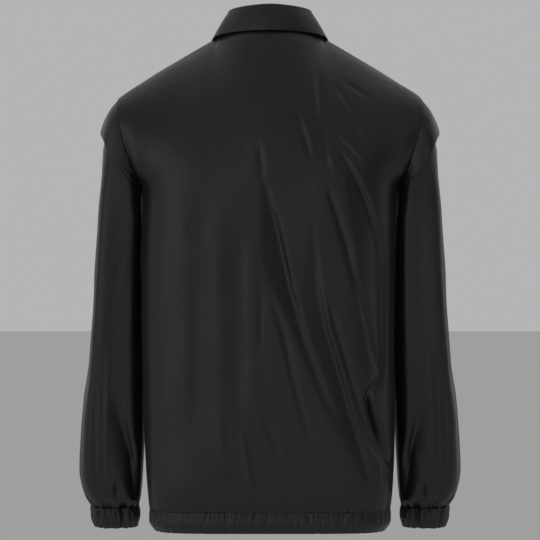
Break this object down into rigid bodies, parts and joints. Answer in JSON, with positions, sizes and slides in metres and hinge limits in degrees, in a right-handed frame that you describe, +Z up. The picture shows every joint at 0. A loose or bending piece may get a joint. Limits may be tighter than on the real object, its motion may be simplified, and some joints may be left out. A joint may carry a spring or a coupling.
{
  "type": "windbreaker",
  "caption": "Thin woven windbreaker in its worn form with nobody in it: turned-down collar, lapped snap front, set-in sleeves, gathered cuffs and gathered hem casing.",
  "frame": {"origin": "middle of the neck opening, just below the inner ends of the shoulder seams, where the wearer's neck and shoulders carry the garment", "axes": "+Z up, the wearer faces -Y, +X is the wearer's left"},
  "size_m": [0.564, 0.275, 0.7783],
  "materials": {
    "shell_cloth": "charcoal woven nylon with a soft satin sheen",
    "snap_cap": "black moulded cap, satin"
  },
  "bodies": {
    "root": {"back": "shell_cloth", "front_left": "shell_cloth", "front_right": "shell_cloth", "sleeve_left": "shell_cloth", "sleeve_right": "shell_cloth", "cuff_left": "shell_cloth", "cuff_right": "shell_cloth", "hem_band": "shell_cloth", "collar": "shell_cloth", "snap_1": "snap_cap", "snap_2": "snap_cap", "snap_3": "snap_cap", "snap_4": "snap_cap", "snap_5": "snap_cap"}
  },
  "joints": []
}
